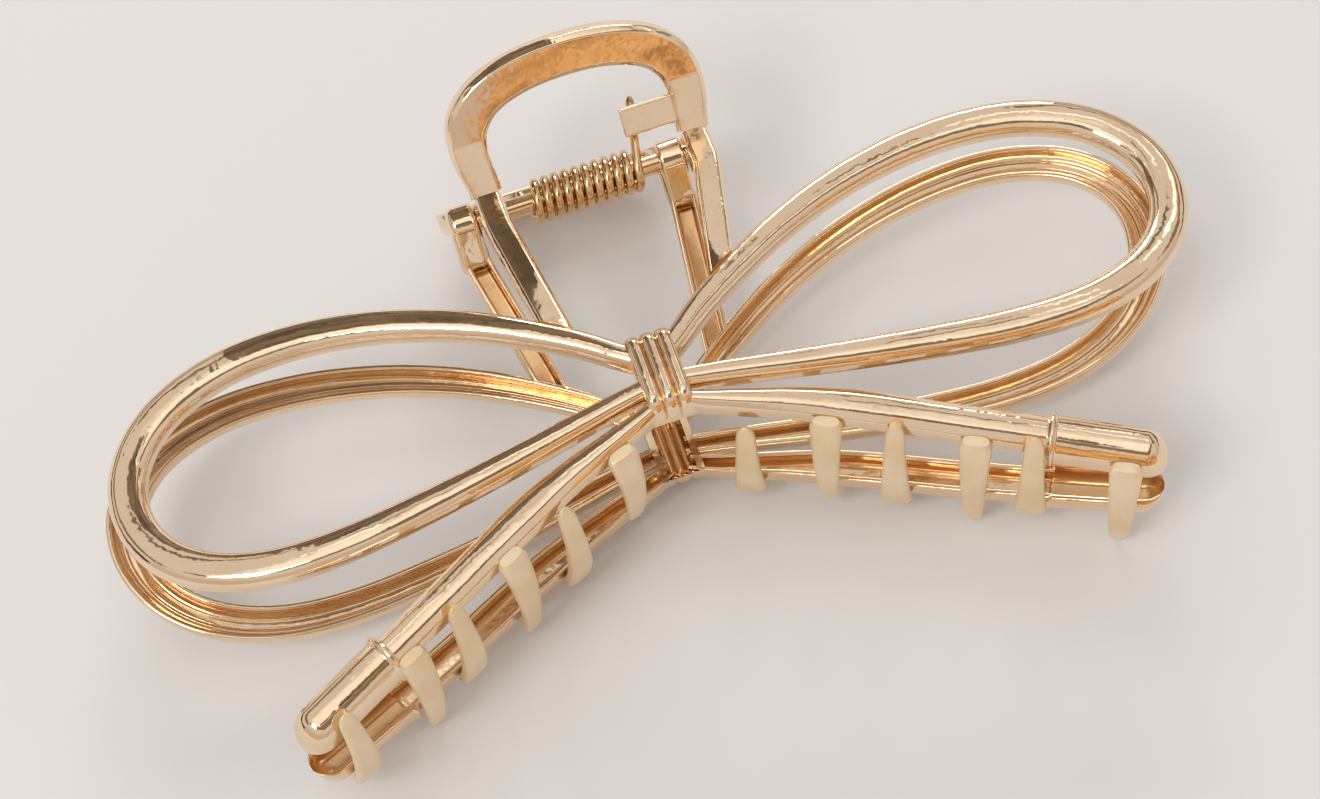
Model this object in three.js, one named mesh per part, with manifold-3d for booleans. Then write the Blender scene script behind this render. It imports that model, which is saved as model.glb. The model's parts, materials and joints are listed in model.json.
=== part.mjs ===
// A metal bow-shaped claw clip: two identical hollow-backed castings that face each other,
// a hinge pin through their four arms and a torsion spring wound on the pin.
// Millimetres, +Z up. The clip lies as it is laid down on a table, on its rear handle and on the tips
// of the front teeth: X runs along the bow, Y from the teeth to the handles.
import * as THREE from "three";
import { mergeVertices } from "three/addons/utils/BufferGeometryUtils.js";
import Module from "manifold-3d";

const wasm = await Module();
wasm.setup();

// ---- driving dimensions -------------------------------------------------------------------------

// A casting is drawn in its own frame: X along the bow, Y towards the handle, Z out through its face,
// with Z = 0 on the plane where the two jaws meet.
const KNOT = { width: 4.5, length: 9.4, centreY: 0.4, top: 9.2, depth: 3.2, ribs: 3, ribRise: 0.75 };
const BOW = {
  top: 8.5,
  sag: 3.0,
  halfWidth: 53,
  slope: 0.08,
  depth: 2.2,
  wall: 0.7,
  startWidth: 2.4, // the strand's width where it leaves the top of the knot
  middleWidth: 3.9,
  endWidth: 2.1,
  leftReach: 0.985, // the right loop is a little longer than the left one
  rightReach: 1.02,
  halfAtArm: 1.45,
};
const TAIL = {
  top: 8.4,
  sag: 2.6,
  length: 42,
  depth: 2.4,
  wall: 0.7,
  startWidth: 1.5,
  fullWidth: 3.4,
  widensOver: 0.4, // share of the tail's length
  fullWallFrom: 2.6, // the wall thins in proportion where the tail is narrower than this
  narrowHalf: 1.25, // near the knot, where the tail tapers
  narrowWithin: 10,
};
const CAP = {
  width: 4.4,
  depth: 3.4,
  length: 11.3,
  wall: 0.8,
  crown: 1.2,
  rise: 0.35, // above the tail's face
  collarSwell: 1.12,
  collarEnd: 0.7,
  bodyStations: [0, 0.55, 0.85, 1.6, 5.6],
  endSteps: 7,
};
const TOOTH = {
  rootWidth: 3.3,
  tipWidth: 1.7,
  rootThick: 1.5,
  tipThick: 0.9,
  bulge: 0.9,
  rootDrop: 0.25, // below the tail's face
  roundFrom: 0.86, // share of the length where the tip starts to round off
  tipShare: 0.12,
  fullness: 0.92,
  sides: 8,
  steps: 7,
};
const TOOTH_X = [-30.4, -18.8, -5.9, 12.9, 25.5, 37.9];
const TOOTH_TIP_Z = [-9.45, -9.0, -5.5, -8.0, -9.0, -9.11];

const PIN = {
  y: 27.6,
  radius: 1.05,
  clearance: 0.06,
  halfLength: 13.9,
  headRadius: 1.5,
  headLength: 0.45,
  headFlat: 0.7, // share of the head's radius that stays flat
};
const SPRING = {
  coilRadius: 1.92,
  wire: 0.48,
  pitch: 1.07,
  turns: 11,
  startX: -5.2,
  rearLeg: 4.5,
  frontLeg: 7.0,
  legAngle: 18,
  legSplay: 0.21, // sideways, for each millimetre along a leg
};
const ARM = {
  offset: 1.45, // the handle sits off the bow's middle, so that the four ears stand side by side
  kinkHalf: 11.0,
  footOffset: 0.8,
  footHalf: 8.6,
  straightFrom: 24,
  footWidth: 3.1,
  width: 2.8,
  depth: 2.2,
  wall: 0.6,
  footGap: 0.45,
  steps: 5,
};
const KINK = { y: 28.1, z: 3.4 };
// The gusset is the web that joins the ear to the underside of the arm.
const EAR = {
  thick: 2.6,
  radius: 2.3,
  segments: 14,
  headDrop: 0.5,
  gussetReach: 7.0,
  gussetRise: 0.9,
  gussetBack: 1.0,
};
const HANDLE = {
  legFlare: 46,
  archFlare: 58, // past the crease the arch rises more steeply than the legs
  creaseAt: 5.5,
  halfWidth: 11.5,
  height: 11.35,
  sideWidth: 3.3,
  topWidth: 4.3,
  widensOver: 0.16, // share of the arch's line
  depth: 2.0,
  wall: 0.7,
};
// Half of the arch's middle line, in shares of the handle's half width and height.
const HANDLE_SHAPE = [[1, 0.38], [0.945, 0.63], [0.76, 0.83], [0.42, 0.96]];
const TAB = { length: 5.0, width: 3.0, thick: 0.9, low: 1.1, sunk: 0.1, inset: 0.75 };

const GAP = 0.3; // left between pieces that meet
const LOOP_STEPS = 40;
const TAIL_STEPS = 10;
const HANDLE_STEPS = 28;
const BORE_SIDES = 24;
const REST_TILT = 4.53; // degrees that the handles rise when the clip lies on a flat surface

const GOLD = { color: 0xe3c08c, roughness: 0.18, metalness: 1.0 };
const SATIN_GOLD = { color: 0xdcc294, roughness: 0.45, metalness: 0.9 };
const STEEL_GOLD = { color: 0xd9ae74, roughness: 0.25, metalness: 1.0 };

const radians = THREE.MathUtils.degToRad;
const lerp = THREE.MathUtils.lerp;

// ---- solids -------------------------------------------------------------------------------------

// Joins rings of equal point count into one closed solid, with its faces turned outwards.
// `outline` is the ring's shape in two dimensions, which the two end faces are filled from.
function loft(rings, outline) {
  const count = outline.length;
  const positions = rings.flat().flatMap((p) => [p.x, p.y, p.z]);
  const index = [];
  for (let r = 0; r + 1 < rings.length; r++) {
    for (let i = 0; i < count; i++) {
      const j = (i + 1) % count;
      const [low, high] = [r * count, (r + 1) * count];
      index.push(low + i, low + j, high + j, low + i, high + j, high + i);
    }
  }
  const last = (rings.length - 1) * count;
  const clockwise = THREE.ShapeUtils.isClockWise(outline);
  for (const face of THREE.ShapeUtils.triangulateShape(outline, [])) {
    const [a, b, c] = clockwise ? face.toReversed() : face;
    index.push(c, b, a);
    index.push(last + a, last + b, last + c);
  }
  const geometry = new THREE.BufferGeometry();
  geometry.setAttribute("position", new THREE.Float32BufferAttribute(positions, 3));
  geometry.setIndex(index);
  if (signedVolume(geometry) < 0) {
    index.reverse();
    geometry.setIndex(index);
  }
  return geometry;
}

function signedVolume(geometry) {
  const { position } = geometry.attributes;
  const at = (i) => new THREE.Vector3().fromBufferAttribute(position, geometry.index.getX(i));
  let volume = 0;
  for (let i = 0; i < geometry.index.count; i += 3) {
    volume += at(i).dot(at(i + 1).cross(at(i + 2))) / 6;
  }
  return volume;
}

function solid(geometry) {
  const bare = geometry.clone();
  bare.deleteAttribute("normal");
  bare.deleteAttribute("uv");
  const merged = mergeVertices(bare, 1e-4);
  return new wasm.Manifold(
    new wasm.Mesh({
      numProp: 3,
      vertProperties: merged.attributes.position.array,
      triVerts: new Uint32Array(merged.index.array),
    }),
  );
}

function geometryOf(body) {
  const mesh = body.getMesh();
  const geometry = new THREE.BufferGeometry();
  geometry.setAttribute("position", new THREE.BufferAttribute(mesh.vertProperties, 3));
  geometry.setIndex(new THREE.BufferAttribute(mesh.triVerts, 1));
  return geometry;
}

// Where the crowned face turns down to its sides, in shares of its half width and of its crown.
const FACET = { across: 0.62, drop: 0.12 };

// A hollow-backed section: a gently crowned face with side walls, open underneath.
// Points are (across, up), with the face at up = 0.
function channelSection(width, depth, wall, crown = 0.45) {
  const half = width / 2;
  const inner = half - wall;
  const roof = -(crown + wall);
  return [
    [-half, -depth],
    [-half, -crown],
    [-half * FACET.across, -crown * FACET.drop],
    [0, 0],
    [half * FACET.across, -crown * FACET.drop],
    [half, -crown],
    [half, -depth],
    [inner, -depth],
    [inner, roof],
    [-inner, roof],
    [-inner, -depth],
  ].map(([x, y]) => new THREE.Vector2(x, y));
}

// The same with a flat face and bevelled edges.
function flatSection(width, depth, wall, bevel = 0.4) {
  const half = width / 2;
  const inner = half - wall;
  return [
    [-half, -depth],
    [-half, -bevel],
    [-half + bevel, 0],
    [half - bevel, 0],
    [half, -bevel],
    [half, -depth],
    [inner, -depth],
    [inner, -wall],
    [-inner, -wall],
    [-inner, -depth],
  ].map(([x, y]) => new THREE.Vector2(x, y));
}

// Sweeps a section along a path in the XY plane. `widthAt` and `heightAt` give the section's width
// and the height of its face at each step; the section stays upright.
// `square` names the end stations whose section is cut parallel to the knot's side.
function sweep(points, widthAt, heightAt, makeSection, square = []) {
  const last = points.length - 1;
  const squared = square.map((end) => (end === "start" ? 0 : last));
  const rings = points.map((p, i) => {
    const along = points[Math.min(i + 1, last)].clone().sub(points[Math.max(i - 1, 0)]).normalize();
    let width = widthAt(i / last);
    if (squared.includes(i)) {
      width /= Math.abs(along.x);
      along.set(Math.sign(along.x), 0);
    }
    return makeSection(width).map(
      (q) => new THREE.Vector3(p.x - along.y * q.x, p.y + along.x * q.x, heightAt(p) + q.y),
    );
  });
  return loft(rings, makeSection(widthAt(0.5)));
}

// Width that grows from `start` to `middle` and falls to `end` along a path.
const swell = (start, middle, end) => (t) =>
  lerp(t < 0.5 ? start : end, middle, Math.sin(Math.PI * Math.min(t, 1 - t)));

function curvePoints(pairs, steps) {
  const curve = new THREE.CatmullRomCurve3(
    pairs.map(([x, y]) => new THREE.Vector3(x, y, 0)),
    false,
    "centripetal",
  );
  return curve.getSpacedPoints(steps).map((p) => new THREE.Vector2(p.x, p.y));
}

const mirrored = (points, side) => points.map(([x, y]) => [x * side, y]);

// ---- the casting's parts ------------------------------------------------------------------------

const bowHeight = (p) => BOW.top - BOW.sag * Math.abs(p.x / BOW.halfWidth) ** 3 - BOW.slope * p.y;
const tailHeight = (p) => TAIL.top - TAIL.sag * (p.x / TAIL.length) ** 2;

// Middle line of a bow loop, from the top of the knot round to its underside.
const LOOP_LINE = [
  [KNOT.width / 2 + GAP, 3.3],
  [4.9, 5.5],
  [10, 9.1],
  [17, 13.1],
  [25, 16.15],
  [34, 17.75],
  [42, 17.3],
  [48.7, 14.4],
  [52.4, 9.7],
  [53.0, 4.8],
  [51.2, 0.0],
  [47.2, -3.7],
  [41.2, -5.9],
  [34, -6.3],
  [25, -5.3],
  [15, -3.55],
  [6, -1.65],
  [KNOT.width / 2 + GAP, -1.0],
];

function loop(side) {
  const reach = side > 0 ? BOW.rightReach : BOW.leftReach;
  const start = LOOP_LINE[0][0];
  const line = LOOP_LINE.map(([x, y]) => [(start + (x - start) * reach) * side, y]);
  const section = (width) => channelSection(width, BOW.depth, BOW.wall);
  const widthAt = swell(BOW.startWidth, BOW.middleWidth, BOW.endWidth);
  return sweep(curvePoints(line, LOOP_STEPS), widthAt, bowHeight, section, ["start", "end"]);
}

// Middle line of the right-hand ribbon tail, from the knot to its cap.
const TAIL_LINE = [
  [KNOT.width / 2 + GAP, -3.55],
  [7, -5.25],
  [12, -7.2],
  [18, -10.1],
  [25, -13.85],
  [32.5, -17.75],
];
const CAP_DIRECTION = new THREE.Vector2(0.892, -0.452).normalize();

function tail(side) {
  const points = curvePoints(mirrored(TAIL_LINE, side), TAIL_STEPS);
  const widthAt = (t) => lerp(TAIL.startWidth, TAIL.fullWidth, Math.min(1, t / TAIL.widensOver));
  const wallOf = (width) => TAIL.wall * Math.min(1, width / TAIL.fullWallFrom);
  const section = (width) => channelSection(width, TAIL.depth, wallOf(width));
  return sweep(points, widthAt, tailHeight, section, ["start"]);
}

// The aglet on the end of a tail: a collar, then a half capsule that is open underneath.
function cap(side) {
  const start = new THREE.Vector2(...TAIL_LINE.at(-1)).addScaledVector(CAP_DIRECTION, GAP);
  const radius = CAP.width / 2;
  const stations = [...CAP.bodyStations, CAP.length - radius];
  for (let i = 1; i < CAP.endSteps; i++) {
    stations.push(CAP.length - radius + radius * Math.sin((i / CAP.endSteps) * (Math.PI / 2)));
  }
  const collar = (s) => (s < CAP.collarEnd ? CAP.collarSwell : 1.0);
  const rounding = (s) => {
    const past = Math.max(0, s - (CAP.length - radius)) / radius;
    return Math.sqrt(1 - past * past);
  };
  const section = channelSection(CAP.width, CAP.depth, CAP.wall, CAP.crown);
  const rings = stations.map((s) => {
    const p = start.clone().addScaledVector(CAP_DIRECTION, s);
    const scale = collar(s) * rounding(s);
    const top = tailHeight(p) + CAP.rise;
    return section.map((q) => {
      const across = q.x * scale;
      const up = -CAP.depth + (q.y + CAP.depth) * scale;
      const x = (p.x - CAP_DIRECTION.y * across) * side;
      return new THREE.Vector3(x, p.y + CAP_DIRECTION.x * across, top + up);
    });
  });
  return loft(rings, section);
}

// The knot's side view: shares of its half length, and how far its top has dropped there.
const KNOT_HALF_PROFILE = [[0.6, 0.06], [0.86, 0.35], [0.97, 1.0], [1, 1.7]];
const RIB_ARC = { from: 0.12, to: 0.88, steps: 4 }; // in half turns

// Rounded ribs side by side, wrapped over the middle of the bow.
function knot() {
  const pitch = KNOT.width / KNOT.ribs;
  const outline = [new THREE.Vector2(-KNOT.width / 2, -KNOT.depth)];
  for (let rib = 0; rib < KNOT.ribs; rib++) {
    const centre = -KNOT.width / 2 + pitch * (rib + 0.5);
    for (let i = 0; i < RIB_ARC.steps; i++) {
      const angle = Math.PI * lerp(RIB_ARC.from, RIB_ARC.to, i / (RIB_ARC.steps - 1));
      const across = centre - (Math.cos(angle) * pitch) / 2;
      outline.push(new THREE.Vector2(across, (Math.sin(angle) - 1) * KNOT.ribRise));
    }
  }
  outline.push(new THREE.Vector2(KNOT.width / 2, -KNOT.depth));
  const stations = [
    ...KNOT_HALF_PROFILE.toReversed().map(([s, drop]) => [-s, drop]),
    [0, 0],
    ...KNOT_HALF_PROFILE,
  ];
  const rings = stations.map(([s, drop]) => {
    const y = KNOT.centreY + (s * KNOT.length) / 2;
    const heightOf = (q) => KNOT.top + (q.y > -KNOT.depth ? q.y - drop : -KNOT.depth);
    return outline.map((q) => new THREE.Vector3(q.x, y, heightOf(q)));
  });
  return loft(rings, outline);
}

// The outer (toothed) edge of a tail at a distance x from the middle of the bow.
function tailEdge(x) {
  const side = Math.sign(x);
  const line = TAIL_LINE.map(([px, py]) => new THREE.Vector2(px, py));
  line.push(line.at(-1).clone().addScaledVector(CAP_DIRECTION, CAP.length));
  let half = TAIL.fullWidth / 2;
  if (Math.abs(x) > TAIL_LINE.at(-1)[0]) {
    half = CAP.width / 2;
  } else if (Math.abs(x) < TAIL.narrowWithin) {
    half = TAIL.narrowHalf;
  }
  const segmentAt = (reach) => line.findIndex((p, i) => i > 0 && p.x >= reach);
  const directionOf = (k) => line[k].clone().sub(line[k - 1]).normalize();
  const lean = -directionOf(segmentAt(Math.abs(x))).y;
  const reach = Math.abs(x) + lean * (half + GAP + TOOTH.rootThick / 2);
  const k = segmentAt(reach);
  const along = directionOf(k);
  const middle = line[k - 1].clone().addScaledVector(along, (reach - line[k - 1].x) / along.x);
  return {
    point: new THREE.Vector2((middle.x + along.y * half) * side, middle.y - along.x * half),
    along: new THREE.Vector2(along.x * side, along.y),
    out: new THREE.Vector2(along.y * side, -along.x),
  };
}

// A tapered tooth that leaves the tail's outer wall and crosses to the other jaw.
function tooth(x, tipZ) {
  const { point, along, out } = tailEdge(x);
  const rootZ = tailHeight(point) - TOOTH.rootDrop;
  const outline = [];
  for (let i = 0; i < TOOTH.sides; i++) {
    const angle = ((i + 0.5) / TOOTH.sides) * Math.PI * 2;
    const corner = new THREE.Vector2(Math.cos(angle), Math.sin(angle));
    outline.push(corner.divideScalar(Math.cos(Math.PI / TOOTH.sides)));
  }
  const rings = [];
  for (let i = 0; i <= TOOTH.steps; i++) {
    const t = i / TOOTH.steps;
    const past = Math.max(0, (t - TOOTH.roundFrom) / (1 - TOOTH.roundFrom));
    const round = Math.sqrt(Math.max(TOOTH.tipShare, 1 - past * past)) * TOOTH.fullness;
    const width = (lerp(TOOTH.rootWidth, TOOTH.tipWidth, t) / 2) * round;
    const thick = (lerp(TOOTH.rootThick, TOOTH.tipThick, t) / 2) * round;
    const away = GAP + TOOTH.rootThick / 2 + TOOTH.bulge * Math.sin(Math.PI * t);
    const z = lerp(rootZ, tipZ, t);
    rings.push(
      outline.map(
        (q) =>
          new THREE.Vector3(
            point.x + out.x * (away + q.y * thick) + along.x * q.x * width,
            point.y + out.y * (away + q.y * thick) + along.y * q.x * width,
            z,
          ),
      ),
    );
  }
  return loft(rings, outline);
}

const EAR_ARC = { from: -Math.PI + 0.1, to: 0.25 }; // round the underside of the pin

// An arm from the bow up to the hinge, with its ear round the pin. side is -1 left, 1 right.
function arm(side) {
  const foot = new THREE.Vector2(ARM.footOffset + side * ARM.footHalf, 0);
  const head = new THREE.Vector2(ARM.offset + side * ARM.kinkHalf, KINK.y - GAP);
  const edge = loopOuterEdge(Math.abs(foot.x));
  foot.y = edge.y + ARM.footGap;
  const rings = [];
  for (let i = 0; i <= ARM.steps; i++) {
    const t = i / ARM.steps;
    const y = lerp(foot.y, head.y, t);
    const outwards = Math.min(1, (y - foot.y) / (ARM.straightFrom - foot.y));
    const middle = new THREE.Vector2(lerp(foot.x, head.x, outwards), y);
    const z = lerp(bowHeight(foot), KINK.z, t);
    const lean = edge.slope * (1 - t) ** 2;
    rings.push(
      flatSection(lerp(ARM.footWidth, ARM.width, outwards), ARM.depth, ARM.wall).map(
        (q) => new THREE.Vector3(middle.x + q.x, middle.y + q.x * side * lean, z + q.y),
      ),
    );
  }
  const rail = loft(rings, flatSection(ARM.width, ARM.depth, ARM.wall));

  const profile = new THREE.Shape();
  const top = new THREE.Vector2(KINK.y - GAP, KINK.z - EAR.headDrop);
  profile.moveTo(top.x, top.y);
  profile.lineTo(head.y - EAR.gussetReach, KINK.z + EAR.gussetRise);
  profile.lineTo(head.y - EAR.gussetReach + EAR.gussetBack, KINK.z - EAR.gussetBack);
  profile.absarc(PIN.y, 0, EAR.radius, EAR_ARC.from, EAR_ARC.to, false);
  profile.lineTo(top.x, top.y);
  const plate = new THREE.ExtrudeGeometry(profile, {
    depth: EAR.thick,
    bevelEnabled: false,
    curveSegments: EAR.segments,
  });
  plate.applyMatrix4(uprightAlongX(head.x - EAR.thick / 2));

  const bore = boreCutter(head.x);
  return geometryOf(solid(rail).add(solid(plate)).subtract(solid(bore)));
}

// Turns a profile drawn in (Y, Z) and extruded upwards into one that is extruded along X.
function uprightAlongX(startX) {
  return new THREE.Matrix4().set(0, 0, 1, startX, 1, 0, 0, 0, 0, 1, 0, 0, 0, 0, 0, 1);
}

function boreCutter(x) {
  const apothem = Math.cos(Math.PI / BORE_SIDES);
  const bore = new THREE.CylinderGeometry(
    (PIN.radius + PIN.clearance) / apothem,
    (PIN.radius + PIN.clearance) / apothem,
    EAR.thick * 2,
    BORE_SIDES,
  );
  bore.rotateZ(Math.PI / 2);
  bore.translate(x, PIN.y, 0);
  return bore;
}

// Height and slope of the bow loop's upper outer edge at a distance x from the middle.
function loopOuterEdge(x) {
  const points = curvePoints(LOOP_LINE.slice(0, 6), 60);
  const k = points.findIndex((p) => p.x >= x);
  const along = points[k].clone().sub(points[k - 1]);
  const slope = along.y / along.x;
  return { y: points[k].y + BOW.halfAtArm * Math.sqrt(1 + slope * slope), slope };
}

// The arched handle, drawn flat and then bent outwards at the kink and at its crease.
function handle() {
  const { halfWidth: w, height: h } = HANDLE;
  const side = [[ARM.kinkHalf, GAP], ...HANDLE_SHAPE.map(([x, y]) => [x * w, y * h])];
  const line = [...side.map(([x, y]) => [-x, y]), [0, h], ...side.toReversed()];
  const widening = (t) => Math.min(1, Math.min(t, 1 - t) / HANDLE.widensOver);
  const widthAt = (t) => lerp(HANDLE.sideWidth, HANDLE.topWidth, widening(t));
  const section = (width) => flatSection(width, HANDLE.depth, HANDLE.wall);
  return flare(sweep(curvePoints(line, HANDLE_STEPS), widthAt, () => 0, section));
}

// The spring's seat: a flat tab on the inner side of one leg of the handle.
function springTab() {
  const inner = HANDLE.halfWidth - HANDLE.sideWidth / 2 - TAB.inset;
  const tab = new THREE.BoxGeometry(TAB.length, TAB.width, TAB.thick);
  tab.translate(inner - TAB.length / 2, TAB.low + TAB.width / 2, -TAB.sunk - TAB.thick / 2);
  return flare(tab);
}

// Bends a flat shape at the crease, then turns it out of the casting's plane at the kink.
function flare(geometry) {
  const { position } = geometry.attributes;
  const bend = radians(HANDLE.archFlare - HANDLE.legFlare);
  const crease = new THREE.Vector2(HANDLE.creaseAt, 0);
  for (let i = 0; i < position.count; i++) {
    if (position.getY(i) > HANDLE.creaseAt) {
      const p = new THREE.Vector2(position.getY(i), position.getZ(i)).rotateAround(crease, bend);
      position.setY(i, p.x);
      position.setZ(i, p.y);
    }
  }
  geometry.translate(ARM.offset, 0, 0);
  geometry.rotateX(radians(HANDLE.legFlare));
  geometry.translate(0, KINK.y, KINK.z);
  return geometry;
}

// ---- pin and spring -----------------------------------------------------------------------------

function hingePin() {
  const { radius: r, halfLength: h, headRadius: R, headLength: n } = PIN;
  const half = [[r, h], [R, h], [R, h + n / 2], [R * PIN.headFlat, h + n], [0, h + n]];
  const profile = [...half.toReversed().map(([x, y]) => [x, -y]), ...half];
  const points = profile.map(([x, y]) => new THREE.Vector2(x, y));
  const pin = new THREE.LatheGeometry(points, BORE_SIDES);
  pin.rotateZ(Math.PI / 2);
  pin.translate(0, PIN.y, 0);
  return pin;
}

// Wire path: a straight leg under the rear tab, the coil, and a straight leg under the front tab.
class SpringCurve extends THREE.Curve {
  constructor() {
    super();
    const leg = radians(90 + SPRING.legAngle);
    this.startAngle = -leg;
    this.sweepAngle = 2 * Math.PI * SPRING.turns - 2 * leg;
    this.rise = (this.sweepAngle / (2 * Math.PI)) * SPRING.pitch;
    this.coilLength = this.sweepAngle * SPRING.coilRadius;
    this.length = SPRING.rearLeg + this.coilLength + SPRING.frontLeg;
  }
  onCoil(angle, x) {
    const r = SPRING.coilRadius;
    return new THREE.Vector3(x, PIN.y + r * Math.cos(angle), r * Math.sin(angle));
  }
  getPoint(t) {
    const s = t * this.length - SPRING.rearLeg;
    const turned = (THREE.MathUtils.clamp(s, 0, this.coilLength) / this.coilLength) * this.sweepAngle;
    const x = SPRING.startX + (turned / this.sweepAngle) * this.rise;
    const point = this.onCoil(this.startAngle - turned, x);
    const past = s < 0 ? -s : Math.max(0, s - this.coilLength);
    const lift = s < 0 ? -1 : 1;
    const angle = radians(SPRING.legAngle);
    const aside = lift * past * SPRING.legSplay;
    return point.add(new THREE.Vector3(aside, past * Math.cos(angle), lift * past * Math.sin(angle)));
  }
}

function torsionSpring() {
  const path = new SpringCurve();
  const sides = 6;
  const stepsPerTurn = 10;
  const coilSteps = Math.round((path.sweepAngle / (2 * Math.PI)) * stepsPerTurn);
  const stations = [0];
  for (let i = 0; i <= coilSteps; i++) {
    stations.push((SPRING.rearLeg + path.coilLength * (i / coilSteps)) / path.length);
  }
  stations.push(1);
  const outline = [];
  for (let i = 0; i < sides; i++) {
    const angle = (i / sides) * Math.PI * 2;
    outline.push(new THREE.Vector2(Math.cos(angle), Math.sin(angle)).multiplyScalar(SPRING.wire));
  }
  const points = stations.map((t) => path.getPoint(t));
  const rings = points.map((p, i) => {
    const next = points[Math.min(i + 1, points.length - 1)];
    const along = next.clone().sub(points[Math.max(i - 1, 0)]).normalize();
    const across = new THREE.Vector3(1, 0, 0).projectOnPlane(along).normalize();
    const other = along.clone().cross(across);
    return outline.map((q) => p.clone().addScaledVector(across, q.x).addScaledVector(other, q.y));
  });
  return loft(rings, outline);
}

// ---- assembly -----------------------------------------------------------------------------------

function named(name, geometry, finish) {
  const mesh = new THREE.Mesh(geometry, new THREE.MeshStandardMaterial(finish));
  mesh.name = name;
  return mesh;
}

function casting(prefix) {
  const group = new THREE.Group();
  const add = (name, geometry, finish = GOLD) => {
    group.add(named(`${prefix}_${name}`, geometry, finish));
  };
  add("knot", knot());
  for (const [name, side] of [["left", -1], ["right", 1]]) {
    add(`bow_loop_${name}`, loop(side));
    add(`tail_${name}`, tail(side));
    add(`tail_cap_${name}`, cap(side));
    add(`arm_${name}`, arm(side));
  }
  TOOTH_X.forEach((x, i) => add(`tooth_${i + 1}`, tooth(x, TOOTH_TIP_Z[i]), SATIN_GOLD));
  add("handle", handle());
  add("spring_tab", springTab());
  return group;
}

const clip = new THREE.Group();
const frontJaw = casting("front");
const rearJaw = casting("rear");
rearJaw.rotation.y = Math.PI;
clip.add(frontJaw, rearJaw);
clip.add(named("hinge_pin", hingePin(), STEEL_GOLD));
clip.add(named("torsion_spring", torsionSpring(), STEEL_GOLD));
clip.rotation.x = radians(REST_TILT);

// The origin is the middle of the bounding box's underside.
clip.updateMatrixWorld(true);
const box = new THREE.Box3().setFromObject(clip, true);
const centre = box.getCenter(new THREE.Vector3());
clip.position.set(-centre.x, -centre.y, -box.min.z);

const part = new THREE.Group();
part.add(clip);

export default part;
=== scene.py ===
"""Looks of the bow claw clip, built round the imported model.

Every piece is drawn in the casting's own frame, in millimetres: X along the bow, Y from the teeth
to the handle, Z out through the casting's face, with Z = 0 where the two jaws meet. to_row() then
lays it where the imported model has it.
"""

import json
import math

import bpy
import numpy as np
from mathutils import Matrix, Vector


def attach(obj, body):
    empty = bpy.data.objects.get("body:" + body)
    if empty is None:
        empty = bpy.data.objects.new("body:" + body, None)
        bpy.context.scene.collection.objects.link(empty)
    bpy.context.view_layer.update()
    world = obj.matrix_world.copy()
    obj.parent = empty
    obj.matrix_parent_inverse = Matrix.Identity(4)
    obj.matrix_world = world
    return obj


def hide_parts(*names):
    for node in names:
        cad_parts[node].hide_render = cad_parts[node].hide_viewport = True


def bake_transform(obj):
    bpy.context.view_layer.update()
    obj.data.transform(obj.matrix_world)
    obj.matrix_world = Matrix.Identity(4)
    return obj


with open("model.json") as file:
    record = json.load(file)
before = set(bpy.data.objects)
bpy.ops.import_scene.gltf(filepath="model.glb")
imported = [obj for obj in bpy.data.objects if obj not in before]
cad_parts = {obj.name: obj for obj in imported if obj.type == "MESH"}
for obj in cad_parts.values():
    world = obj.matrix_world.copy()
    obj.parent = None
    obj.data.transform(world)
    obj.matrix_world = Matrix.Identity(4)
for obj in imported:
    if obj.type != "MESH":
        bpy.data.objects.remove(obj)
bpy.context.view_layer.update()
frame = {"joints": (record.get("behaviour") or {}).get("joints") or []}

# ---- dimensions, millimetres --------------------------------------------------------------------

REST_TILT = math.radians(4.53)
PIN_Y = 27.6
HINGE = np.array(frame["joints"][0]["pos_m"])

KNOT_WIDTH, KNOT_LENGTH, KNOT_Y, KNOT_TOP, KNOT_DEPTH = 4.5, 9.4, 0.4, 9.2, 3.2
RIBS, RIB_RISE, KNOT_WALL, KNOT_TURN_DOWN = 3, 0.85, 0.7, 2.75
GROOVE_TOP, GROOVE_DEPTH = -1.25, 0.65
BOW_TOP, BOW_SAG, BOW_HALF, BOW_SLOPE, BOW_DEPTH = 8.5, 3.0, 53.0, 0.08, 2.2
LEFT_REACH, RIGHT_REACH = 0.985, 1.02
STRAND_START, STRAND_MIDDLE, STRAND_END, STRAND_WALL = 2.4, 3.85, 2.1, 0.62
TAIL_TOP, TAIL_SAG, TAIL_LENGTH, TAIL_DEPTH = 8.4, 2.6, 42.0, 2.4
TAIL_START, TAIL_FULL, TAIL_NARROW, TAIL_WALL = 1.5, 3.4, 2.5, 0.6
CAP_WIDTH, CAP_DEPTH, CAP_LENGTH = 4.4, 3.4, 11.3
CAP_WALL, CAP_SHOULDER, CAP_RISE, COLLAR_SWELL = 0.7, 2.0, 0.35, 0.15
SEAM = 0.3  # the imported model's gap between neighbours, which is closed here
CAP_ALONG = np.array([0.892, -0.452]) / math.hypot(0.892, 0.452)
TOOTH_X = [-30.4, -18.8, -5.9, 12.9, 25.5, 37.9]
TOOTH_TIP_Z = [-9.45, -9.0, -5.5, -8.0, -9.0, -9.11]
TOOTH_ROOT, TOOTH_TIP = (3.3, 1.45), (1.75, 0.85)  # width and thickness
TOOTH_STANDOFF, TOOTH_BOW = 0.75, 0.9
ARM_OFFSET, KINK_HALF, FOOT_OFFSET, FOOT_HALF = 1.45, 11.0, 0.8, 8.6
KINK_Y, KINK_Z = 28.1, 3.4
ARM_FOOT, ARM_WIDTH, ARM_DEPTH, ARM_WALL, ARM_STRAIGHT_Y = 3.1, 2.8, 2.2, 0.55, 24
LEG_FLARE, ARCH_FLARE, CREASE = math.radians(46), math.radians(58), 5.5
HANDLE_HALF, HANDLE_HEIGHT = 11.5, 11.35
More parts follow.
